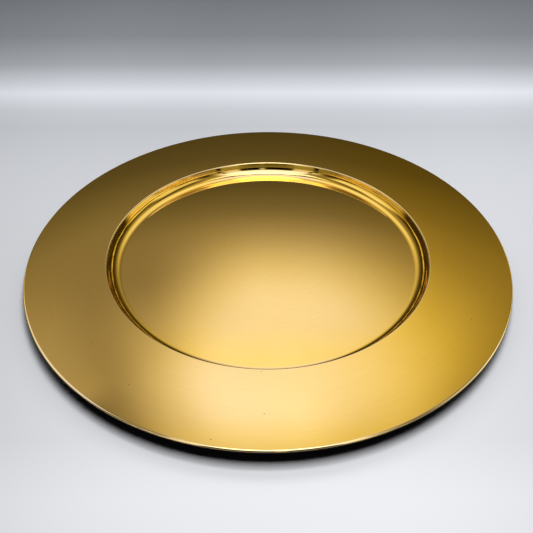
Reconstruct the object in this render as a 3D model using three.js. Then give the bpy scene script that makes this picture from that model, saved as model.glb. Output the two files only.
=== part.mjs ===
// A round serving plate of the charger kind, which stands under the dinner plate: one sheet of metal,
// pressed with a round well and a wide, nearly flat rim, whose edge is rolled round a stiffening wire.
// Millimetres, +Z up. The origin is under the middle of the plate, on the surface that it stands on.

import * as THREE from "three";

// Driving dimensions, in millimetres, and angles in degrees.
const plateDiameter = 330; // across the rolled edge
const sheetThickness = 0.5;
const floorDiameter = 207.5; // the flat floor of the well
const wellDepth = 9.2; // from the floor up to the crest where the rim starts
const wallAngle = 73; // the wall's slope, from the level
const footCurve = 7.5; // radius of the hollow curve from the floor into the wall
const shoulderBend = 0.5; // inner radius of the bend from the wall into the rim
const rimSlope = 2.2; // the rim's rise towards its edge
const wireDiameter = 0.9;
const wireClearance = 0.15; // between the wire and the roll round it
const wireButtGap = 0.6; // between the two ends of the wire
const rollWrap = 280; // how far the edge turns round the wire

// How finely the curves are faceted.
const facetsAround = 80;
const footSteps = 6;
const shoulderSteps = 3;
const rollSteps = 12;
const wireSides = 8;

// Angles in radians. A face's normal stands a right angle ahead of its slope.
const rightAngle = Math.PI / 2;
const wallTilt = THREE.MathUtils.degToRad(wallAngle);
const rimTilt = THREE.MathUtils.degToRad(rimSlope);
const rollTurn = THREE.MathUtils.degToRad(rollWrap);

// Radii on the sheet's upper face. The foot's curve is limited by the height of the wall.
const shoulderRadius = shoulderBend + sheetThickness;
const rollRadius = wireDiameter / 2 + wireClearance + sheetThickness;
const shoulderRise = shoulderRadius * (Math.cos(rimTilt) - Math.cos(wallTilt));
const footRadius = Math.min(footCurve, (wellDepth - shoulderRise) / (1 - Math.cos(wallTilt)));
const footRise = footRadius * (1 - Math.cos(wallTilt));
const straightWall = (wellDepth - shoulderRise - footRise) / Math.sin(wallTilt);

// Centres of the three curves, as radius and height.
const footCentre = new THREE.Vector2(floorDiameter / 2, sheetThickness + footRadius);
const shoulderCentre = along(
  along(footCentre, wallTilt - rightAngle, footRadius + shoulderRadius),
  wallTilt,
  straightWall,
);
const crest = along(shoulderCentre, rimTilt + rightAngle, shoulderRadius);
const rollCentreRadius = plateDiameter / 2 - rollRadius;
const rimEndRadius = rollCentreRadius - rollRadius * Math.sin(rimTilt);
const rimEndHeight = crest.y + (rimEndRadius - crest.x) * Math.tan(rimTilt);
const rollCentre = new THREE.Vector2(rollCentreRadius, rimEndHeight - rollRadius * Math.cos(rimTilt));

// The point that lies a distance away from another, in a direction.
function along(from, direction, distance) {
  return new THREE.Vector2(
    from.x + distance * Math.cos(direction),
    from.y + distance * Math.sin(direction),
  );
}

// The points of an arc, both ends included.
function arc(centre, radius, start, end, steps) {
  return Array.from({ length: steps + 1 }, (_, step) =>
    along(centre, THREE.MathUtils.lerp(start, end, step / steps), radius),
  );
}

// One face of the sheet, from the axis out to the end of the roll, at a depth under the upper face.
function sheetFace(depth) {
  const rimNormal = rimTilt + rightAngle;
  const wallNormal = wallTilt + rightAngle;
  return [
    new THREE.Vector2(0, sheetThickness - depth),
    ...arc(footCentre, footRadius + depth, -rightAngle, wallTilt - rightAngle, footSteps),
    ...arc(shoulderCentre, shoulderRadius - depth, wallNormal, rimNormal, shoulderSteps),
    ...arc(rollCentre, rollRadius - depth, rimNormal, rimNormal - rollTurn, rollSteps),
  ];
}

// The pressed sheet: its two faces, turned about the upright axis.
function platePressing() {
  const underside = sheetFace(sheetThickness);
  const upperFace = sheetFace(0);
  const geometry = new THREE.LatheGeometry([...underside, ...upperFace.reverse()], facetsAround);
  geometry.rotateX(rightAngle);
  const gold = new THREE.MeshStandardMaterial({ color: 0xd9ab52, metalness: 1, roughness: 0.08 });
  return named("plate_pressing", geometry, gold);
}

// The wire's middle line: a ring that is open at the back by the butt gap.
class WireLine extends THREE.Curve {
  getPoint(share, target = new THREE.Vector3()) {
    const gapAngle = wireButtGap / rollCentre.x;
    const angle = rightAngle + gapAngle / 2 + share * (2 * Math.PI - gapAngle);
    return target.set(rollCentre.x * Math.cos(angle), rollCentre.x * Math.sin(angle), rollCentre.y);
  }
}

// The stiffening wire that the edge is rolled round.
function rimWire() {
  const outline = new THREE.Path().absarc(0, 0, wireDiameter / 2, 0, 2 * Math.PI);
  const section = new THREE.Shape(outline.getSpacedPoints(wireSides));
  const geometry = new THREE.ExtrudeGeometry(section, {
    steps: facetsAround,
    extrudePath: new WireLine(),
  });
  const steel = new THREE.MeshStandardMaterial({ color: 0xa9abad, metalness: 1, roughness: 0.35 });
  return named("rim_wire", geometry, steel);
}

function named(name, geometry, material) {
  const mesh = new THREE.Mesh(geometry, material);
  mesh.name = name;
  return mesh;
}

const plate = new THREE.Group();
plate.add(platePressing(), rimWire());

export default plate;
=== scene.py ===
import math
from typing import NamedTuple

import bmesh
import bpy
from bpy.props import FloatProperty, FloatVectorProperty, IntProperty, PointerProperty
from mathutils import Matrix, Vector


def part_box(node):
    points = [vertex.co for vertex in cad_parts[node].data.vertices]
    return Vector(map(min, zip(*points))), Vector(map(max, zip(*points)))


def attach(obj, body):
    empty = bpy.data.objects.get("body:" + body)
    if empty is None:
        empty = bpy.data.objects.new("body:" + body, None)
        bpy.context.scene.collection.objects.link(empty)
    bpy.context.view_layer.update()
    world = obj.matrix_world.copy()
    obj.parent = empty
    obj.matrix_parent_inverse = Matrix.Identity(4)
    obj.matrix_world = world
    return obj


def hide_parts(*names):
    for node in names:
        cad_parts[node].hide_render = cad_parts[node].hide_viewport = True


bl_info = {
    "name": "Serving plate",
    "version": (1, 0, 0),
    "blender": (4, 5, 0),
    "location": "3D View > Sidebar > Serving plate",
    "description": "A round charger plate in polished gold, with its rim wire and a studio stage",
    "category": "Object",
}

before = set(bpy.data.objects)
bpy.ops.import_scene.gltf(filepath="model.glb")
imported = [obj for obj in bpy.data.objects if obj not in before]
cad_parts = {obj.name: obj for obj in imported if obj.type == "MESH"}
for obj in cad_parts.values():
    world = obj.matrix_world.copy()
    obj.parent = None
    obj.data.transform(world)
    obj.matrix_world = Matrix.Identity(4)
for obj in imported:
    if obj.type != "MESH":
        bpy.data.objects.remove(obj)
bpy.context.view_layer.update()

PRESSING_NODE = "plate_pressing"
WIRE_NODE = "rim_wire"
BODY = "root"

RIGHT_ANGLE = math.pi / 2
FULL_TURN = 2 * math.pi
UPRIGHT = (0.0, 0.0, 1.0)
SECTION_AXIS = (0.0, -1.0, 0.0)  # arcs in the XZ plane turn counter-clockwise about it
LACQUER_SHINE = 0.06  # how much the lacquer reflects

# Sizes that the frame gives: the pressing's width and the wire's thickness.
pressing_low, pressing_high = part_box(PRESSING_NODE)
wire_low, wire_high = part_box(WIRE_NODE)
frame_plate_diameter = pressing_high.x - pressing_low.x
frame_wire_diameter = wire_high.z - wire_low.z


def length(name, description, default):
    """A size in metres that a user may change."""
    settings = {"default": default, "unit": "LENGTH", "precision": 5}
    return FloatProperty(name=name, description=description, **settings)


def angle(name, description, degrees):
    """An angle that a user may change."""
    radians = math.radians(degrees)
    return FloatProperty(name=name, description=description, default=radians, subtype="ANGLE")


def colour(name, description, default):
    """A linear colour that a user may change."""
    return FloatVectorProperty(
        name=name,
        description=description,
        default=default,
        subtype="COLOR",
        size=3,
        min=0.0,
        soft_max=1.0,
    )


def share(name, description, default):
    """A plain number, such as a roughness, that a user may change."""
    return FloatProperty(name=name, description=description, default=default, min=0.0, precision=4)


def power(name, description, watts):
    """A lamp's power that a user may change."""
    return FloatProperty(name=name, description=description, default=watts, unit="POWER")


class PlateSizes(bpy.types.PropertyGroup):
    """The plate's sizes, which are those of its construction."""

    plate_diameter: length("Plate diameter", "Across the rolled edge", frame_plate_diameter)
    sheet_thickness: length("Sheet thickness", "Of the pressed sheet", 0.0005)
    floor_diameter: length("Floor diameter", "Of the flat floor of the well", 0.2075)
    well_depth: length("Well depth", "From the floor up to the crest where the rim starts", 0.0092)
    wall_slope: angle("Wall slope", "Of the well's wall, from the level", 73)
    foot_curve: length("Foot curve", "Radius of the hollow curve from the floor into the wall", 0.0075)
    shoulder_bend: length("Shoulder bend", "Inner radius of the bend from wall to rim", 0.0005)
    rim_slope: angle("Rim slope", "The rim's rise towards its edge", 2.2)
    roll_wrap: angle("Roll wrap", "How far the edge turns round the wire", 280)
    # Below the gold's end the roll's outer face takes the dark lacquer, as painted shade under the edge.
    gold_end: angle("End of the gold", "How far the gold reaches down the roll, from its top", 38)
    gold_end_front: angle("End of the gold in front", "The same, at the front of the plate", 66)
    wire_diameter: length("Wire diameter", "Of the wire inside the rolled edge", frame_wire_diameter)
    wire_clearance: length("Wire clearance", "Between the wire and the roll round it", 0.00015)
    wire_gap: length("Wire gap", "Between the two ends of the wire", 0.0006)
    facets_around: IntProperty(
        name="Facets around",
        description="How finely the turned surfaces are divided",
        default=360,
        min=24,
    )


class PlateFinish(bpy.types.PropertyGroup):
    """Colours and polish of the plate's metals."""

    gold: colour("Gold", "Colour of the plating", (0.95, 0.71, 0.28))
    # Deep gold also paints a warmer, darker reflection tone at the rim's right and front, the floor's
    # front and right, and low on the wall's sides.
    deep_gold: colour("Deep gold", "Colour of the plating where it lies thicker", (0.97, 0.66, 0.09))
    # The pit colour is also the dark of the painted shade at the foot of the wall, and of the darker
    # lines on the wall.
    pit: colour("Pit", "Colour inside the tiny pits of the plating", (0.16, 0.09, 0.02))
    # The worn colour also paints the highlights on the roll in front and on the wall.
    worn: colour("Worn gold", "Colour where the plating is rubbed thin", (0.95, 0.86, 0.68))
    steel: colour("Steel", "Colour of the drawn wire", (0.56, 0.57, 0.58))
    polish: share("Polish", "Roughness of the polished upper face", 0.05)
    # The lacquer's colour also paints the shade on the roll's lower side.
    lacquer: colour("Lacquer", "Colour of the dark lacquer on the underside", (0.003, 0.0026, 0.0022))
    lacquer_polish: share("Lacquer polish", "Roughness of the lacquer", 0.35)


class StageSettings(bpy.types.PropertyGroup):
    """The floor, the light and the camera."""

    floor_front: colour("Floor in front", "Colour of the floor before the plate", (0.797, 0.802, 0.828))
    floor_back: colour("Floor behind", "Colour of the floor far behind the plate", (0.76, 0.80, 0.868))
    lens: FloatProperty(name="Lens", description="Focal length", default=38.09, unit="CAMERA")
    camera_reach: length("Camera reach", "Level distance from the plate's axis to the camera", 0.31367)
    camera_height: length("Camera height", "Above the floor", 0.25949)
    camera_tilt: angle("Camera tilt", "How far the camera looks down", 40.826)
    camera_turn: angle("Camera turn", "How far the camera looks to the left", 0.168)
    camera_roll: angle("Camera roll", "How far the camera leans to the left", -0.21)
    lamp_power: power("Lamp power", "Of the soft lamp above", 2.85)
    strip_power: power("Strip power", "Of the strip lamp above", 0.72)
    back_power: power("Back power", "Of the lamp behind the plate", 3.3)


# Modelling helpers.


class PlateCurves(NamedTuple):
    """The three curves of the sheet's upper face: centres as radius and height, and their radii."""

    foot_centre: Vector
    foot_radius: float
    shoulder_centre: Vector
    shoulder_radius: float
    roll_centre: Vector
    roll_radius: float


def along(start, direction, distance):
    """The point that lies a distance away from another, in a direction."""
    return start + distance * Vector((math.cos(direction), math.sin(direction)))


def plate_curves(sizes):
    """Works out the curves from the plate's sizes, as its construction does."""
    wall, rim = sizes.wall_slope, sizes.rim_slope
    shoulder_radius = sizes.shoulder_bend + sizes.sheet_thickness
    roll_radius = sizes.wire_diameter / 2 + sizes.wire_clearance + sizes.sheet_thickness
    shoulder_rise = shoulder_radius * (math.cos(rim) - math.cos(wall))
    foot_radius = min(sizes.foot_curve, (sizes.well_depth - shoulder_rise) / (1 - math.cos(wall)))
    foot_rise = foot_radius * (1 - math.cos(wall))
    straight_wall = (sizes.well_depth - shoulder_rise - foot_rise) / math.sin(wall)
    foot_centre = Vector((sizes.floor_diameter / 2, sizes.sheet_thickness + foot_radius))
    wall_foot = along(foot_centre, wall - RIGHT_ANGLE, foot_radius + shoulder_radius)
    shoulder_centre = along(wall_foot, wall, straight_wall)
    crest = along(shoulder_centre, rim + RIGHT_ANGLE, shoulder_radius)
    roll_centre_radius = sizes.plate_diameter / 2 - roll_radius
    rim_end_radius = roll_centre_radius - roll_radius * math.sin(rim)
    rim_end_height = crest.y + (rim_end_radius - crest.x) * math.tan(rim)
    roll_centre = Vector((roll_centre_radius, rim_end_height - roll_radius * math.cos(rim)))
    return PlateCurves(
        foot_centre,
        foot_radius,
        shoulder_centre,
        shoulder_radius,
        roll_centre,
        roll_radius,
    )


class SectionPen:
    """Draws a half section in the XZ plane as one chain of edges."""

    def __init__(self, mesh, start):
        self.mesh = mesh
        self.tip = mesh.verts.new((start.x, 0.0, start.y))

    def line_to(self, end):
        made = bmesh.ops.extrude_vert_indiv(self.mesh, verts=[self.tip])
        self.tip = made["verts"][0]
        self.tip.co = (end.x, 0.0, end.y)

    def arc(self, centre, turn, steps):
        made = bmesh.ops.spin(
            self.mesh,
            geom=[self.tip],
            cent=(centre.x, 0.0, centre.y),
            axis=SECTION_AXIS,
            angle=turn,
            steps=steps,
        )
        self.tip = made["geom_last"][0]


def flat_stretch(pen, end, margin):
    """A straight stretch with a close loop by each end, so that it shades flat between its curves."""
    start = Vector((pen.tip.co.x, pen.tip.co.z))
    step = (end - start).normalized() * margin
    pen.line_to(start + step)
    pen.line_to(end - step)
    pen.line_to(end)


def turned(mesh, turn, steps, **options):
    """Spins all of a mesh about the plate's upright axis."""
    bmesh.ops.spin(
        mesh,
        geom=mesh.verts[:] + mesh.edges[:],
        cent=(0.0, 0.0, 0.0),
        axis=UPRIGHT,
        angle=turn,
        steps=steps,
        **options,
    )


def finished_piece(name, mesh, materials, sharp_angle):
    """Makes an object of a bmesh, at the origin, shaded smooth but for its sharp edges."""
    data = bpy.data.meshes.new(name)
    mesh.to_mesh(data)
    mesh.free()
    for material in materials:
        data.materials.append(material)
    data.shade_smooth()
    data.set_sharp_from_angle(angle=sharp_angle)
    piece = bpy.data.objects.new(name, data)
    bpy.context.scene.collection.objects.link(piece)
    return piece


# Node helpers.


def add_node(tree, kind, inputs=None, **settings):
    """Adds a node, sets its properties, and links or sets its inputs by name or number."""
    node = tree.nodes.new(kind)
    for key, value in settings.items():
        setattr(node, key, value)
    for key, value in (inputs or {}).items():
        if isinstance(value, bpy.types.NodeSocket):
            tree.links.new(value, node.inputs[key])
        else:
            node.inputs[key].default_value = value
    return node


def maths(tree, operation, *values):
    """A Math node's result."""
    return add_node(tree, "ShaderNodeMath", dict(enumerate(values)), operation=operation).outputs[0]


def summed(tree, first, *others):
    """The sum of several values."""
    for other in others:
        first = maths(tree, "ADD", first, other)
    return first


def product(tree, first, *others):
    """The product of several values."""
    for other in others:
        first = maths(tree, "MULTIPLY", first, other)
    return first


class Fade(NamedTuple):
    """A smooth change: the two values between which it happens, and what it gives before and after."""

    start: float
    end: float
    before: float
    after: float

    def moved(self, distance):
        """The same change, a distance further along."""
        return self._replace(start=self.start + distance, end=self.end + distance)


def remap(tree, value, start, end, low, high):
    """A smooth change from low to high while a value goes from start to end."""
    node = add_node(tree, "ShaderNodeMapRange", interpolation_type="SMOOTHSTEP")
    tree.links.new(value, node.inputs["Value"])
    for key, number in (("From Min", start), ("From Max", end), ("To Min", low), ("To Max", high)):
        node.inputs[key].default_value = number
    return node.outputs["Result"]


def mix_colours(tree, factor, first, second):
    """Blends two colours by a factor."""
    node = add_node(tree, "ShaderNodeMix", data_type="RGBA")
    sockets = {socket.identifier: socket for socket in node.inputs}
    for key, value in (("Factor_Float", factor), ("A_Color", first), ("B_Color", second)):
        if isinstance(value, bpy.types.NodeSocket):
            tree.links.new(value, sockets[key])
        else:
            sockets[key].default_value = value
    return next(socket for socket in node.outputs if socket.identifier == "Result_Color")


def opaque(rgb):
    """A colour with full alpha."""
    return (*rgb, 1.0)


def new_group(name, inputs):
    """A shader node group that puts out one mask; inputs are names with their defaults."""
    group = bpy.data.node_groups.new(name, "ShaderNodeTree")
    for key, value in inputs.items():
        socket = group.interface.new_socket(key, in_out="INPUT", socket_type="NodeSocketFloat")
        socket.default_value = value
    group.interface.new_socket("Mask", in_out="OUTPUT", socket_type="NodeSocketFloat")
    return group, group.nodes.new("NodeGroupInput"), group.nodes.new("NodeGroupOutput")


def place_group(tree, group, **inputs):
    """Places a group in a material with its own values and gives its mask."""
    node = add_node(tree, "ShaderNodeGroup", node_tree=group)
    for key, value in inputs.items():
        node.inputs[key.replace("_", " ").capitalize()].default_value = value
    return node.outputs["Mask"]


def new_material(name):
    """An empty material: its tree and the shader that ends it."""
    material = bpy.data.materials.new(name)
    material.use_nodes = True
    return material, material.node_tree, material.node_tree.nodes["Principled BSDF"]


# Where the plate's finish changes, and where shade, highlights and reflection tone are painted into it.
# Places are in metres: X to the right, Y to the back and Z up.
GOLD_END_CHANGE = (-0.04, -0.13)  # the stretch of Y in which the gold's end, and so the painted shade below it, drops to that of the front
LACQUER_SOFTNESS = 0.05  # of the edge of the lacquer's painted shade, as a share of the roll's radius
ROLL_REACH = 1.2  # how far inside the roll's centre its mask starts, in roll radii
HOLLOW_FOOT = Fade(-0.0002, 0.0004, 0.0, 1.0)  # by distance from the floor's edge
HOLLOW_CREST = Fade(-0.0011, -0.0005, 1.0, 0.0)  # by distance from the shoulder's centre
LINE_FINENESS = 850.0  # of the drawing lines, per metre across them
LINE_DEPTH = 2.2e-5  # of the drawing lines
DARK_LINES_SIDE = Fade(0.03, 0.06, 0.08, 0.5)  # by distance to either side
DARK_LINES_HEIGHT = Fade(0.003, 0.005, 0.0, 1.0)
DARK_LINES_PATTERN = Fade(0.46, 0.6, 0.0, 1.0)  # by the lines' own pattern
# Where deeper gold paints a warmer, darker tone of reflection.
DRIFT_RIM_RIGHT = Fade(-0.01, 0.13, 0.0, 1.0)
DRIFT_RIM_FRONT = Fade(-0.14, -0.163, 0.0, 0.4)
DRIFT_FLOOR_FRONT = Fade(-0.06, -0.105, 0.0, 0.6)
DRIFT_FLOOR_RIGHT = Fade(0.04, 0.1, 0.0, 0.35)
DRIFT_SIDES = Fade(0.03, 0.055, 0.0, 1.0)  # by distance to either side
DRIFT_HEIGHT = Fade(0.004, 0.006, 1.0, 0.15)
PIT_CELLS = 40.0  # cells per metre
PIT_SPOT = Fade(0.006, 0.018, 0.8, 0.0)  # by distance from a cell's point, in cells
PIT_FREE = 0.85  # the share of cells that have no pit
FOOT_SHADE_INNER = Fade(-0.0004, 0.0004, 0.0, 1.0)  # by distance from the floor's edge
FOOT_SHADE_OUTER = Fade(0.001, 0.004, 0.3, 0.0)  # by distance from the floor's edge
FOOT_SHADE_LEFT = Fade(-0.07, -0.1, 0.0, 1.0)
CREST_INSET = 0.0004  # from the shoulder's centre in to the middle of the wear on the crest
WEAR_CREST = Fade(0.0003, 0.0009, 0.4, 0.0)  # by distance from that middle
WEAR_HEIGHT = Fade(0.0, 0.0005, 0.0, 1.0)  # by height over the shoulder's centre
ROLL_OUTSET = 0.0004  # from the roll's centre out to the middle of the painted highlight on the roll
ROLL_HIGHLIGHT = Fade(0.0003, 0.0009, 1.0, 0.0)  # by distance from that middle
ROLL_HIGHLIGHT_FRONT = Fade(-0.03, -0.12, 0.05, 0.7)
WALL_HIGHLIGHT_SIDES = Fade(0.03, 0.05, 0.2, 0.1)  # by distance to either side
WEAR_PATCH = Fade(0.0, 1.0, 0.7, 1.0)

# The marks and patches of each finish.
PATCH_CONTRAST = Fade(0.35, 0.7, 0.0, 1.0)
GOLD_MARKS = {"fineness": 900.0, "length": 5.0}
GOLD_PATCHES = {"scale": 14.0}
PATCH_TONE = 0.12  # how far a patch goes towards deep gold
MARK_DIMMING = Fade(0.3, 0.7, 0.0, 0.03)
MARK_POLISH = 0.6  # the polish at the smoothest marks, as a share of the gold's
MARK_BUMP = {"Strength": 0.06, "Distance": 5e-6}
LACQUER_MARKS = {"fineness": 700.0, "length": 4.0}
LACQUER_PATCHES = {"scale": 30.0}
LACQUER_WEAR = 2.5  # how much paler the lacquer's patches are
LACQUER_DULLNESS = (0.8, 1.3)  # its roughness at the marks' ends, as shares of its own
LACQUER_BUMP = {"Strength": 1.0, "Distance": 4e-6}
STEEL_MARKS = {"fineness": 6000.0, "length": 9.0}
STEEL_DULLING = 0.7  # how dark the wire's marks are
STEEL_POLISH = (0.25, 0.45)  # the wire's roughness at the marks' ends
MARK_RANGE = (0.2, 0.8)  # the part of the marks' pattern that changes a roughness


class PlatePoint(NamedTuple):
    """A point's place: without its height, then as X, Y, height and distance from the axis."""

    level: bpy.types.NodeSocket
    x: bpy.types.NodeSocket
    y: bpy.types.NodeSocket
    height: bpy.types.NodeSocket
    radius: bpy.types.NodeSocket


def plate_point(tree):
    """The sockets that give a point's place."""
    place = add_node(tree, "ShaderNodeTexCoord").outputs["Object"]
    x, y, height = add_node(tree, "ShaderNodeSeparateXYZ", {0: place}).outputs
    flattened = {0: place, 1: (1.0, 1.0, 0.0)}
    level = add_node(tree, "ShaderNodeVectorMath", flattened, operation="MULTIPLY").outputs[0]
    radius = add_node(tree, "ShaderNodeVectorMath", {0: level}, operation="LENGTH").outputs["Value"]
    return PlatePoint(level, x, y, height, radius)


# Effects that the plate's metals share.


def buffing_marks():
    """Fine marks from a buffing wheel or a lathe: long round the axis and narrow across it."""
    group, inputs, outputs = new_group("buffing_marks", {"Fineness": 900.0, "Length": 6.0})
    point = plate_point(group)
    outward = add_node(group, "ShaderNodeVectorMath", {0: point.level}, operation="NORMALIZE")
    drawn_out = {0: outward.outputs[0], "Scale": inputs.outputs["Length"]}
    stretched = add_node(group, "ShaderNodeVectorMath", drawn_out, operation="SCALE").outputs[0]
    x, y, _ = add_node(group, "ShaderNodeSeparateXYZ", {0: stretched}).outputs
    along_section = maths(group, "ADD", point.radius, point.height)
    across = maths(group, "MULTIPLY", along_section, inputs.outputs["Fineness"])
    wound = add_node(group, "ShaderNodeCombineXYZ", {0: x, 1: y, 2: across}).outputs[0]
    noise = add_node(group, "ShaderNodeTexNoise", {"Vector": wound, "Scale": 1.0, "Detail": 3.0})
    group.links.new(noise.outputs["Fac"], outputs.inputs["Mask"])
    return group


def plating_patches():
    """Broad, soft patches where the plating or a faint dullness lies thicker."""
    group, inputs, outputs = new_group("plating_patches", {"Scale": 14.0, "Detail": 3.0})
    place = add_node(group, "ShaderNodeTexCoord").outputs["Object"]
    noise = add_node(group, "ShaderNodeTexNoise", {"Vector": place, "Roughness": 0.55})
    group.links.new(inputs.outputs["Scale"], noise.inputs["Scale"])
    group.links.new(inputs.outputs["Detail"], noise.inputs["Detail"])
    group.links.new(remap(group, noise.outputs["Fac"], *PATCH_CONTRAST), outputs.inputs["Mask"])
    return group


# The gold's own effects, with the light and shade painted into it.


def lacquer_mask(tree, point, curves, sizes):
    """Painted shade under the edge: one where the roll turns under past the gold, which ends lower in
    front, and takes the dark lacquer; else nought.
    """
    above = maths(tree, "SUBTRACT", point.height, curves.roll_centre.y)
    ends = [curves.roll_radius * math.cos(end) for end in (sizes.gold_end, sizes.gold_end_front)]
    over_end = maths(tree, "SUBTRACT", above, remap(tree, point.y, *GOLD_END_CHANGE, *ends))
    softness = LACQUER_SOFTNESS * curves.roll_radius
    low = remap(tree, over_end, -softness, softness, 1.0, 0.0)
    start = curves.roll_centre.x - ROLL_REACH * curves.roll_radius
    return product(tree, low, maths(tree, "GREATER_THAN", point.radius, start))


def hollow_mask(tree, point, curves):
    """One on the well's wall and foot, nought on the floor and the rim."""
    foot = remap(tree, point.radius, *HOLLOW_FOOT.moved(curves.foot_centre.x))
    crest = remap(tree, point.radius, *HOLLOW_CREST.moved(curves.shoulder_centre.x))
    return product(tree, foot, crest)


def drawing_lines(tree, point):
    """Unbroken lines round the well's wall, from the die that drew it."""
    across = product(tree, summed(tree, point.radius, point.height), LINE_FINENESS)
    pattern = {"W": across, "Scale": 1.0, "Detail": 2.0}
    return add_node(tree, "ShaderNodeTexNoise", pattern, noise_dimensions="1D").outputs["Fac"]


def line_dirt(tree, point, lines, hollow):
    """Darker drawing lines, high on the wall and most at its left and right sides."""
    side = remap(tree, maths(tree, "ABSOLUTE", point.x), *DARK_LINES_SIDE)
    high = remap(tree, point.height, *DARK_LINES_HEIGHT)
    return product(tree, side, high, remap(tree, lines, *DARK_LINES_PATTERN), hollow)


def plating_drift(tree, point, curves, hollow):
    """Painted reflection tone, in deeper gold: low at the wall's sides, and at the right and in front on
    the rim and the floor.
    """
    on_rim = maths(tree, "GREATER_THAN", point.radius, curves.shoulder_centre.x)
    on_floor = maths(tree, "LESS_THAN", point.radius, curves.foot_centre.x)
    rim_right = product(tree, remap(tree, point.x, *DRIFT_RIM_RIGHT), on_rim)
    rim_front = product(tree, remap(tree, point.y, *DRIFT_RIM_FRONT), on_rim)
    floor_front = product(tree, remap(tree, point.y, *DRIFT_FLOOR_FRONT), on_floor)
    floor_right = product(tree, remap(tree, point.x, *DRIFT_FLOOR_RIGHT), on_floor)
    side = remap(tree, maths(tree, "ABSOLUTE", point.x), *DRIFT_SIDES)
    wall_sides = product(tree, side, hollow, remap(tree, point.height, *DRIFT_HEIGHT))
    return summed(tree, rim_right, floor_front, floor_right, rim_front, wall_sides)


def plating_pits(tree, point):
    """Tiny, scattered pits: spots in a few of a texture's cells."""
    pattern = {"Vector": point.level, "Scale": PIT_CELLS}
    cells = add_node(tree, "ShaderNodeTexVoronoi", pattern, voronoi_dimensions="2D")
    spot = remap(tree, cells.outputs["Distance"], *PIT_SPOT)
    chance = add_node(tree, "ShaderNodeSeparateColor", {0: cells.outputs["Color"]}).outputs[0]
    return product(tree, spot, maths(tree, "GREATER_THAN", chance, PIT_FREE))


def foot_haze(tree, point, curves):
    """Painted shade: darker gold along the foot of the wall, on the left."""
    inner = remap(tree, point.radius, *FOOT_SHADE_INNER.moved(curves.foot_centre.x))
    outer = remap(tree, point.radius, *FOOT_SHADE_OUTER.moved(curves.foot_centre.x))
    return product(tree, inner, outer, remap(tree, point.x, *FOOT_SHADE_LEFT))


def distance_from(tree, value, middle):
    """How far a value lies from a middle, on either side."""
    return maths(tree, "ABSOLUTE", maths(tree, "SUBTRACT", value, middle))


def edge_wear(tree, point, curves, patch, hollow):
    """Paler gold: wear rubbed on the crest, and painted highlight on the roll in front and in the wall,
    most at its front and back.
    """
    off_crest = distance_from(tree, point.radius, curves.shoulder_centre.x - CREST_INSET)
    high = remap(tree, point.height, *WEAR_HEIGHT.moved(curves.shoulder_centre.y))
    rubbed = product(tree, remap(tree, off_crest, *WEAR_CREST), high)
    off_roll = distance_from(tree, point.radius, curves.roll_centre.x + ROLL_OUTSET)
    front_roll_highlight = product(tree, remap(tree, off_roll, *ROLL_HIGHLIGHT), remap(tree, point.y, *ROLL_HIGHLIGHT_FRONT))
    drawn = product(tree, hollow, remap(tree, maths(tree, "ABSOLUTE", point.x), *WALL_HIGHLIGHT_SIDES))
    worn = summed(tree, rubbed, front_roll_highlight, drawn)
    return product(tree, worn, remap(tree, patch, *WEAR_PATCH))


def gold_material(finish, sizes, marks, patches):
    """The upper face's gold, with its marks, patches, pits and wear, painted reflection tone, highlights
    and shade, and the lacquer where it ends, which paints the shade under the edge.
    """
    material, tree, shader = new_material("polished_gold")
    curves = plate_curves(sizes)
    point = plate_point(tree)
    streak = place_group(tree, marks, **GOLD_MARKS)
    patch = place_group(tree, patches, **GOLD_PATCHES)
    hollow = hollow_mask(tree, point, curves)
    lines = drawing_lines(tree, point)
    under = lacquer_mask(tree, point, curves, sizes)

    # Deeper gold: random patches, and painted reflection tone.
    reflection_tone = plating_drift(tree, point, curves, hollow)
    patch_and_reflection_tone = summed(tree, product(tree, patch, PATCH_TONE), reflection_tone)
    gold = mix_colours(tree, patch_and_reflection_tone, opaque(finish.gold), opaque(finish.deep_gold))
    # Paler gold: wear on the crest, and painted highlight on the roll in front and on the wall.
    worn = edge_wear(tree, point, curves, patch, hollow)
    gold = mix_colours(tree, worn, gold, opaque(finish.worn))
    # Darker gold in the pit colour: painted shade at the foot of the wall on the left, and darker
    # drawing lines high on the wall's sides.
    foot_shade = foot_haze(tree, point, curves)
    side_lines_darkening = line_dirt(tree, point, lines, hollow)
    dimmed = summed(tree, remap(tree, streak, *MARK_DIMMING), foot_shade, side_lines_darkening)
    dark = maths(tree, "MAXIMUM", dimmed, plating_pits(tree, point))
    gold = mix_colours(tree, dark, gold, opaque(finish.pit))
    # Dark lacquer on the roll past the gold's end is painted shade under the edge.
    tree.links.new(mix_colours(tree, under, gold, opaque(finish.lacquer)), shader.inputs["Base Color"])

    smoothest = MARK_POLISH * finish.polish
    polish = summed(tree, product(tree, streak, smoothest), smoothest)
    roughness = summed(tree, polish, product(tree, under, finish.lacquer_polish))
    tree.links.new(roughness, shader.inputs["Roughness"])
    tree.links.new(maths(tree, "SUBTRACT", 1.0, under), shader.inputs["Metallic"])
    shader.inputs["Specular IOR Level"].default_value = LACQUER_SHINE

    fine = add_node(tree, "ShaderNodeBump", {"Height": streak, **MARK_BUMP}).outputs["Normal"]
    cut = {"Height": lines, "Strength": hollow, "Distance": LINE_DEPTH, "Normal": fine}
    tree.links.new(add_node(tree, "ShaderNodeBump", cut).outputs["Normal"], shader.inputs["Normal"])
    return material


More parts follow.
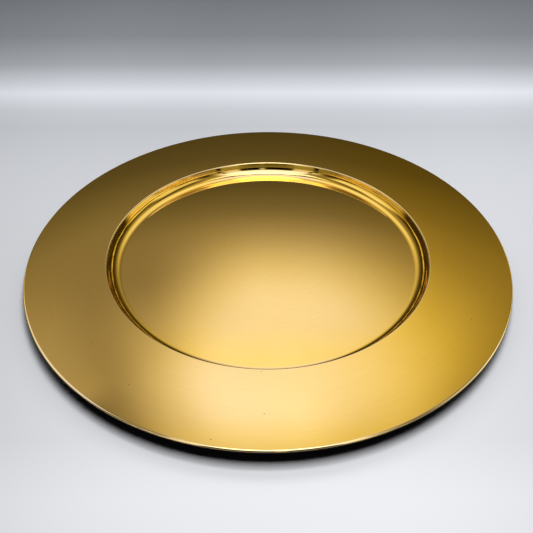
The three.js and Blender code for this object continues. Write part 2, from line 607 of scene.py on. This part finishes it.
def lacquer_material(finish, marks, patches):
    """The underside's dark lacquer, over the marks of the sheet."""
    material, tree, shader = new_material("underside_lacquer")
    streak = place_group(tree, marks, **LACQUER_MARKS)
    patch = place_group(tree, patches, **LACQUER_PATCHES)
    worn = tuple(LACQUER_WEAR * channel for channel in finish.lacquer)
    lacquer = mix_colours(tree, patch, opaque(finish.lacquer), opaque(worn))
    tree.links.new(lacquer, shader.inputs["Base Color"])
    dullness = [part * finish.lacquer_polish for part in LACQUER_DULLNESS]
    tree.links.new(remap(tree, streak, *MARK_RANGE, *dullness), shader.inputs["Roughness"])
    shader.inputs["Specular IOR Level"].default_value = LACQUER_SHINE
    bump = add_node(tree, "ShaderNodeBump", {"Height": streak, **LACQUER_BUMP})
    tree.links.new(bump.outputs["Normal"], shader.inputs["Normal"])
    return material


def steel_material(finish, marks):
    """Bright drawn wire, with marks along it."""
    material, tree, shader = new_material("drawn_steel")
    streak = place_group(tree, marks, **STEEL_MARKS)
    dull = tuple(STEEL_DULLING * channel for channel in finish.steel)
    steel = mix_colours(tree, streak, opaque(dull), opaque(finish.steel))
    tree.links.new(steel, shader.inputs["Base Color"])
    tree.links.new(remap(tree, streak, *MARK_RANGE, *STEEL_POLISH), shader.inputs["Roughness"])
    shader.inputs["Metallic"].default_value = 1.0
    return material


def shared_group(make):
    """A node group of this file, made the first time that it is asked for."""
    return bpy.data.node_groups.get(make.__name__) or make()


class PLATE_OT_pressing(bpy.types.Operator):
    """Makes the pressed sheet: the floor, the wall, the rim and the rolled edge"""

    bl_idname = "serving_plate.make_pressing"
    bl_label = "Make the plate pressing"

    FOOT_STEPS = 28
    SHOULDER_STEPS = 14
    ROLL_STEPS = 44
    SHADING_MARGIN = 0.00025
    EDGE_ROUNDING = 0.0001
    MERGE_DISTANCE = 1e-6
    SHARP_ANGLE = math.radians(60)

    def execute(self, context):
        sizes = context.scene.plate_sizes
        mesh = bmesh.new()
        self.draw_upper_face(mesh, sizes)
        turned(mesh, FULL_TURN, sizes.facets_around, use_merge=True)
        bmesh.ops.remove_doubles(mesh, verts=mesh.verts[:], dist=self.MERGE_DISTANCE)
        bmesh.ops.recalc_face_normals(mesh, faces=mesh.faces[:])
        materials = self.materials(context.scene.plate_finish, sizes)
        piece = finished_piece("pressing", mesh, materials, self.SHARP_ANGLE)
        self.thicken(piece, sizes)
        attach(piece, BODY)
        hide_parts(PRESSING_NODE)
        return {"FINISHED"}

    def draw_upper_face(self, mesh, sizes):
        """Draws the sheet's upper face, from the axis out to the end of the roll."""
        curves = plate_curves(sizes)
        wall, rim = sizes.wall_slope, sizes.rim_slope
        floor_edge = Vector((curves.foot_centre.x, sizes.sheet_thickness))
        wall_top = along(curves.shoulder_centre, wall + RIGHT_ANGLE, curves.shoulder_radius)
        rim_end = along(curves.roll_centre, rim + RIGHT_ANGLE, curves.roll_radius)
        pen = SectionPen(mesh, Vector((0.0, sizes.sheet_thickness)))
        flat_stretch(pen, floor_edge, self.SHADING_MARGIN)
        pen.arc(curves.foot_centre, wall, self.FOOT_STEPS)
        flat_stretch(pen, wall_top, self.SHADING_MARGIN)
        pen.arc(curves.shoulder_centre, rim - wall, self.SHOULDER_STEPS)
        flat_stretch(pen, rim_end, self.SHADING_MARGIN)
        pen.arc(curves.roll_centre, -sizes.roll_wrap, self.ROLL_STEPS)

    def thicken(self, piece, sizes):
        """Gives the sheet its thickness, under the upper face, and rounds its cut edge."""
        sheet = piece.modifiers.new("sheet", "SOLIDIFY")
        sheet.thickness = sizes.sheet_thickness
        sheet.offset = -1.0
        sheet.use_even_offset = True
        sheet.material_offset = 1
        rounding = piece.modifiers.new("cut_edge", "BEVEL")
        rounding.limit_method = "ANGLE"
        rounding.angle_limit = self.SHARP_ANGLE
        rounding.width = self.EDGE_ROUNDING
        rounding.segments = 2
        rounding.profile = 0.5

    def materials(self, finish, sizes):
        """The polished upper face's finish and the underside's."""
        marks, patches = shared_group(buffing_marks), shared_group(plating_patches)
        return gold_material(finish, sizes, marks, patches), lacquer_material(finish, marks, patches)


class PLATE_OT_wire(bpy.types.Operator):
    """Makes the stiffening wire, an open ring inside the rolled edge"""

    bl_idname = "serving_plate.make_wire"
    bl_label = "Make the rim wire"

    SIDES = 20
    SHARP_ANGLE = math.radians(40)

    def execute(self, context):
        sizes = context.scene.plate_sizes
        centre = plate_curves(sizes).roll_centre
        gap_angle = sizes.wire_gap / centre.x
        mesh = bmesh.new()
        start_turn = Matrix.Rotation(RIGHT_ANGLE + gap_angle / 2, 4, "Z")
        stand_up = Matrix.Rotation(RIGHT_ANGLE, 4, "X")
        bmesh.ops.create_circle(
            mesh,
            segments=self.SIDES,
            radius=sizes.wire_diameter / 2,
            matrix=start_turn @ Matrix.Translation((centre.x, 0.0, centre.y)) @ stand_up,
        )
        turned(mesh, FULL_TURN - gap_angle, sizes.facets_around)
        bmesh.ops.holes_fill(mesh, edges=[edge for edge in mesh.edges if edge.is_boundary])
        bmesh.ops.recalc_face_normals(mesh, faces=mesh.faces[:])
        steel = steel_material(context.scene.plate_finish, shared_group(buffing_marks))
        piece = finished_piece("stiffening_wire", mesh, (steel,), self.SHARP_ANGLE)
        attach(piece, BODY)
        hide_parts(WIRE_NODE)
        return {"FINISHED"}


# The stage.


class SoftPanel(NamedTuple):
    """A soft patch of light on the dome, in degrees: to the right of the back, and up from the level."""

    azimuth: float
    elevation: float
    half_width: float
    half_height: float
    core_width: float
    core_height: float
    strength: float


# A negative strength takes light away.
BACK_PANELS = (
    SoftPanel(4.5, 54.8, 35.6, 24.0, 4.4, 6.4, 0.728),
    SoftPanel(36.5, 53.8, 26.7, 22.0, 0.0, 0.0, 0.525),
    SoftPanel(-23.2, 58.2, 22.6, 18.7, 0.3, 0.0, 0.48),
    SoftPanel(-59.0, 48.0, 22.0, 16.0, 4.0, 3.0, 0.11),
    SoftPanel(-92.0, 33.0, 34.0, 24.0, 22.0, 10.0, 0.80),
    SoftPanel(101.0, 24.0, 26.0, 20.0, 14.0, 10.0, 0.70),
    SoftPanel(-36.0, 2.0, 24.0, 4.0, 12.0, 1.5, 1.3),
    SoftPanel(36.0, 2.0, 24.0, 4.0, 12.0, 1.5, 1.3),
    SoftPanel(-85.0, 4.0, 30.0, 16.0, 18.0, 8.0, 0.50),
    SoftPanel(80.0, 4.0, 30.0, 16.0, 18.0, 8.0, 0.90),
    SoftPanel(-88.0, 62.0, 50.0, 10.0, 32.0, 5.0, -0.24),
    SoftPanel(85.0, 54.0, 30.0, 16.0, 20.0, 10.0, -0.16),
)
# The same, with degrees to the right of the front, as seen in the photograph.
FRONT_PANELS = (
    SoftPanel(4.0, 62.0, 46.0, 24.0, 39.0, 14.0, 1.1),
    SoftPanel(4.0, 78.0, 125.0, 8.5, 100.0, 6.0, 1.5),
    SoftPanel(31.0, 24.0, 19.0, 22.0, 5.0, 12.0, 0.70),
    SoftPanel(-31.0, 24.0, 19.0, 22.0, 5.0, 12.0, 0.70),
    SoftPanel(4.2, 26.0, 2.6, 14.0, 1.6, 9.0, 0.45),
    SoftPanel(0.0, 0.0, 60.0, 7.0, 50.0, 5.0, 0.14),
)
# Two cards in front that take light away, and two leaning posts, each of two pieces.
DARK_CARDS = (
    SoftPanel(14.6, 21.5, 8.8, 17.0, 7.8, 14.5, 0.96),
    SoftPanel(-9.4, 21.5, 12.1, 17.0, 11.1, 14.5, 0.96),
    SoftPanel(39.2, 4.0, 2.6, 14.0, 1.5, 10.0, 0.98),
    SoftPanel(36.8, 28.0, 2.0, 14.0, 1.1, 10.0, 0.95),
    SoftPanel(-38.8, 4.0, 2.6, 14.0, 1.5, 10.0, 0.98),
    SoftPanel(-36.4, 28.0, 2.0, 14.0, 1.1, 10.0, 0.95),
)
# The dome's own light, by degrees above the level.
DOME_LIGHT = (
    (0.0, 0.045),
    (20.0, 0.042),
    (27.0, 0.088),
    (34.0, 0.205),
    (42.0, 0.23),
    (52.0, 0.261),
    (62.0, 0.396),
    (68.0, 0.51),
    (71.5, 0.54),
    (73.5, 0.10),
    (79.5, 0.10),
    (81.5, 2.8),
    (90.0, 3.2),
)
# The light's tint by its strength: dim light is warm, bright light is cool and the brightest yellow.
LIGHT_TINT = (
    (0.05, (1.25, 1.0, 0.43)),
    (0.25, (1.22, 1.0, 0.61)),
    (0.5, (1.16, 1.0, 0.68)),
    (0.75, (1.12, 1.0, 0.80)),
    (1.0, (1.06, 1.0, 1.07)),
    (1.2, (1.03, 1.0, 1.25)),
    (1.8, (1.0, 0.98, 0.62)),
    (2.8, (1.0, 0.98, 0.62)),
)
LOW_TINT = (1.05, 1.0, 0.42)  # of the light near the level
LOW_LIGHT = Fade(math.radians(12), math.radians(20), 1.0, 0.0)  # by the angle above the level
TINT_SCALE = 2.0  # keeps the tints inside a ramp's range
BRIGHTEST = 4.0  # the strength at the end of the ramps
PLAIN_DISTANCE = (0.19, 0.195, 0.21)
AMBIENT = 0.02  # the distance's strength, as it lights what is matt


def filled_ramp(tree, factor, stops):
    """A colour ramp with the given places and colours."""
    ramp = add_node(tree, "ShaderNodeValToRGB", {"Fac": factor})
    elements = ramp.color_ramp.elements
    while len(elements) < len(stops):
        elements.new(1.0)
    for element, (place, rgb) in zip(elements, stops):
        element.position = place
        element.color = opaque(rgb)
    return ramp.outputs["Color"]


def soft_window(tree, value, centre, half, core):
    """One inside a window of angles, nought outside, with a soft edge between its core and its end."""
    apart = maths(tree, "ABSOLUTE", maths(tree, "SUBTRACT", value, math.radians(centre)))
    return remap(tree, apart, math.radians(core), math.radians(half), 1.0, 0.0)


def panel_light(tree, panel, azimuth, elevation):
    """A soft panel's light by direction."""
    wide = soft_window(tree, azimuth, panel.azimuth, panel.half_width, panel.core_width)
    high = soft_window(tree, elevation, panel.elevation, panel.half_height, panel.core_height)
    return maths(tree, "MULTIPLY", maths(tree, "MULTIPLY", wide, high), panel.strength)


def dome_strength(tree, direction, elevation):
    """The dome's light by direction: its own and the soft panels', less what the cards take away."""
    x, y, _ = direction
    from_back = maths(tree, "ARCTAN2", x, y)
    from_front = maths(tree, "ARCTAN2", x, maths(tree, "MULTIPLY", y, -1.0))
    height = maths(tree, "DIVIDE", elevation, RIGHT_ANGLE)
    stops = [(degrees / 90.0, (strength / BRIGHTEST,) * 3) for degrees, strength in DOME_LIGHT]
    light = maths(tree, "MULTIPLY", filled_ramp(tree, height, stops), BRIGHTEST)
    for azimuth, panels in ((from_back, BACK_PANELS), (from_front, FRONT_PANELS)):
        for panel in panels:
            light = maths(tree, "ADD", light, panel_light(tree, panel, azimuth, elevation))
    for card in DARK_CARDS:
        left_over = maths(tree, "SUBTRACT", 1.0, panel_light(tree, card, from_front, elevation))
        light = maths(tree, "MULTIPLY", light, left_over)
    return light


def dome_tint(tree, light, elevation):
    """The light's colour by its strength, warmer near the level, over the tints' scale."""
    level = maths(tree, "DIVIDE", light, BRIGHTEST)
    stops = []
    for strength, rgb in LIGHT_TINT:
        stops.append((strength / BRIGHTEST, tuple(channel / TINT_SCALE for channel in rgb)))
    low = remap(tree, elevation, *LOW_LIGHT)
    low_tint = mix_colours(tree, low, opaque((1.0, 1.0, 1.0)), opaque(LOW_TINT))
    tints = {0: filled_ramp(tree, level, stops), 1: low_tint}
    return add_node(tree, "ShaderNodeVectorMath", tints, operation="MULTIPLY").outputs[0]


def dome_material():
    """The light on the inside of the dome, by direction from its middle."""
    material = bpy.data.materials.new("dome_light")
    material.use_nodes = True
    material.cycles.emission_sampling = "NONE"
    tree = material.node_tree
    tree.nodes.clear()
    place = add_node(tree, "ShaderNodeTexCoord").outputs["Object"]
    outward = add_node(tree, "ShaderNodeVectorMath", {0: place}, operation="NORMALIZE").outputs[0]
    direction = add_node(tree, "ShaderNodeSeparateXYZ", {0: outward}).outputs
    elevation = maths(tree, "ARCSINE", direction[2])
    light = dome_strength(tree, direction, elevation)
    tint = dome_tint(tree, light, elevation)
    strength = maths(tree, "MULTIPLY", light, TINT_SCALE)
    shine = add_node(tree, "ShaderNodeEmission", {"Color": tint, "Strength": strength})
    end = tree.nodes.new("ShaderNodeOutputMaterial")
    tree.links.new(shine.outputs[0], end.inputs["Surface"])
    return material


def plain_world():
    """A plain grey distance, which hardly lights the stage."""
    world = bpy.data.worlds.new("distance")
    world.use_nodes = True
    tree = world.node_tree
    path = add_node(tree, "ShaderNodeLightPath")
    strength = remap(tree, path.outputs["Is Camera Ray"], 0.0, 1.0, AMBIENT, 1.0)
    background = tree.nodes["Background"]
    background.inputs["Color"].default_value = opaque(PLAIN_DISTANCE)
    tree.links.new(strength, background.inputs["Strength"])
    return world


# The floor's painted light and shade by its distance behind the plate's axis, in metres.
FLOOR_SHADES = (
    (-0.25, 1.03),
    (-0.183, 1.03),
    (-0.172, 1.0),
    (-0.15, 0.92),
    (-0.03, 0.82),
    (0.10, 0.75),
    (0.20, 0.70),
    (0.235, 0.775),
    (0.278, 1.03),
    (0.305, 0.875),
    (0.36, 0.57),
    (0.46, 0.425),
    (0.60, 0.445),
)
FLOOR_START, FLOOR_END = FLOOR_SHADES[0][0], FLOOR_SHADES[-1][0]
FLOOR_BESIDE = Fade(0.05, 0.25, 0.0, 1.0)  # by distance to either side
FLOOR_SIDE_PAINTED_LIGHT = Fade(-0.2, 0.15, -0.19, 0.13)  # painted shade at the sides in front and painted light at the sides behind, by distance behind the axis
FLOOR_ROUGHNESS = 0.7
FAR_FLOOR = Fade(0.75, 1.5, 0.0, 1.0)  # by distance from the axis, where the plain distance starts


def floor_shades(stage):
    """The places and colours of the floor's painted light and shade, from front to back."""
    front, back = Vector(stage.floor_front), Vector(stage.floor_back)
    for behind, shade in FLOOR_SHADES:
        part = (behind - FLOOR_START) / (FLOOR_END - FLOOR_START)
        yield part, shade * front.lerp(back, part)


def floor_material(stage):
    """A matt, pale floor with painted light and shade by its place, that looks like the plain distance
    far from the lamps.
    """
    material, tree, shader = new_material("pale_floor")
    point = plate_point(tree)
    span = {"Value": point.y, "From Min": FLOOR_START, "From Max": FLOOR_END}
    reach = add_node(tree, "ShaderNodeMapRange", span).outputs["Result"]
    beside = remap(tree, maths(tree, "ABSOLUTE", point.x), *FLOOR_BESIDE)
    side_light = product(tree, beside, remap(tree, point.y, *FLOOR_SIDE_PAINTED_LIGHT))
    shades = {0: filled_ramp(tree, reach, list(floor_shades(stage))), "Scale": summed(tree, side_light, 1.0)}
    shaded = add_node(tree, "ShaderNodeVectorMath", shades, operation="SCALE")
    tree.links.new(shaded.outputs[0], shader.inputs["Base Color"])
    shader.inputs["Roughness"].default_value = FLOOR_ROUGHNESS
    shader.inputs["Specular IOR Level"].default_value = 0.0
    seen = add_node(tree, "ShaderNodeLightPath").outputs["Is Camera Ray"]
    far = remap(tree, point.radius, *FAR_FLOOR)
    shader.inputs["Emission Color"].default_value = opaque(PLAIN_DISTANCE)
    tree.links.new(product(tree, seen, far), shader.inputs["Emission Strength"])
    return material


class PLATE_OT_stage(bpy.types.Operator):
    """Makes the floor, the studio light and the camera"""

    bl_idname = "serving_plate.make_stage"
    bl_label = "Make the stage"

    FLOOR_RADIUS = 4.0
    FLOOR_SIDES = 96
    FLOOR_DROP = 0.00005  # the floor lies this far under the plate's underside
    LAMP_HEIGHT = 0.61
    # Each lamp's name, the setting of its power, its place over the floor, and its width and depth.
    LAMPS = (
        ("soft_lamp", "lamp_power", (0.055, -0.12), (0.22, 0.31)),
        ("strip_lamp", "strip_power", (0.055, 0.02), (0.22, 0.03)),
        ("back_lamp", "back_power", (0.09, 0.35), (1.7, 0.3)),
    )
    DOME_RADIUS = 0.5
    DOME_SIDES, DOME_RINGS = 64, 32
    SENSOR_WIDTH = 36.0  # in millimetres, as the lens
    NEAREST_SEEN = 0.01

    def execute(self, context):
        stage = context.scene.plate_stage
        self.make_floor(stage)
        for name, setting, place, size in self.LAMPS:
            self.make_lamp(name, getattr(stage, setting), place, size)
        self.make_dome()
        context.scene.world = plain_world()
        self.make_camera(context.scene, stage)
        context.scene.view_settings.view_transform = "Standard"
        return {"FINISHED"}

    def make_floor(self, stage):
        """A round floor, wide enough to reach the distance."""
        mesh = bmesh.new()
        bmesh.ops.create_circle(
            mesh,
            cap_ends=True,
            segments=self.FLOOR_SIDES,
            radius=self.FLOOR_RADIUS,
            matrix=Matrix.Translation((0.0, 0.0, -self.FLOOR_DROP)),
        )
        finished_piece("floor", mesh, (floor_material(stage),), math.pi)

    def make_lamp(self, name, watts, place, size):
        """A flat lamp above that lights the floor and that polished metal doesn't show."""
        lamp = bpy.data.lights.new(name, "AREA")
        lamp.shape = "RECTANGLE"
        lamp.size, lamp.size_y = size
        lamp.energy = watts
        holder = bpy.data.objects.new(name, lamp)
        holder.location = (*place, self.LAMP_HEIGHT)
        holder.visible_camera = False
        holder.visible_glossy = False
        bpy.context.scene.collection.objects.link(holder)

    def make_dome(self):
        """A half dome round the plate that only polished metal shows."""
        mesh = bmesh.new()
        bmesh.ops.create_uvsphere(
            mesh,
            u_segments=self.DOME_SIDES,
            v_segments=self.DOME_RINGS,
            radius=self.DOME_RADIUS,
        )
        bmesh.ops.bisect_plane(
            mesh,
            geom=mesh.verts[:] + mesh.edges[:] + mesh.faces[:],
            plane_co=(0.0, 0.0, 0.0),
            plane_no=UPRIGHT,
            clear_inner=True,
        )
        dome = finished_piece("light_dome", mesh, (dome_material(),), math.pi)
        dome.visible_camera = False
        dome.visible_diffuse = False
        dome.visible_shadow = False

    def make_camera(self, scene, stage):
        """The camera of the photograph's view."""
        camera = bpy.data.cameras.new("camera")
        camera.sensor_width = self.SENSOR_WIDTH
        camera.lens = stage.lens
        camera.clip_start = self.NEAREST_SEEN
        holder = bpy.data.objects.new("camera", camera)
        holder.location = (0.0, -stage.camera_reach, stage.camera_height)
        turn = Matrix.Rotation(stage.camera_turn, 4, "Z")
        tilt = Matrix.Rotation(RIGHT_ANGLE - stage.camera_tilt, 4, "X")
        roll = Matrix.Rotation(stage.camera_roll, 4, "Z")
        holder.rotation_euler = (turn @ tilt @ roll).to_euler()
        scene.collection.objects.link(holder)
        scene.camera = holder


class PLATE_PT_panel(bpy.types.Panel):
    """Lists the plate's pieces and settings in the sidebar"""

    bl_idname = "PLATE_PT_panel"
    bl_label = "Serving plate"
    bl_space_type = "VIEW_3D"
    bl_region_type = "UI"
    bl_category = "Serving plate"

    def draw(self, context):
        for operator in OPERATORS:
            self.layout.operator(operator.bl_idname)
        for group in SETTINGS:
            box = self.layout.box()
            settings = getattr(context.scene, group)
            for key in settings.__annotations__:
                box.prop(settings, key)


OPERATORS = (PLATE_OT_pressing, PLATE_OT_wire, PLATE_OT_stage)
SETTINGS = {"plate_sizes": PlateSizes, "plate_finish": PlateFinish, "plate_stage": StageSettings}
CLASSES = (*SETTINGS.values(), *OPERATORS, PLATE_PT_panel)


def register():
    for each in CLASSES:
        bpy.utils.register_class(each)
    for name, group in SETTINGS.items():
        setattr(bpy.types.Scene, name, PointerProperty(type=group))


def unregister():
    for name in SETTINGS:
        delattr(bpy.types.Scene, name)
    for each in reversed(CLASSES):
        bpy.utils.unregister_class(each)


def main():
    register()
    bpy.ops.serving_plate.make_stage()
    bpy.ops.serving_plate.make_pressing()
    bpy.ops.serving_plate.make_wire()


if __name__ == "__main__":
    main()
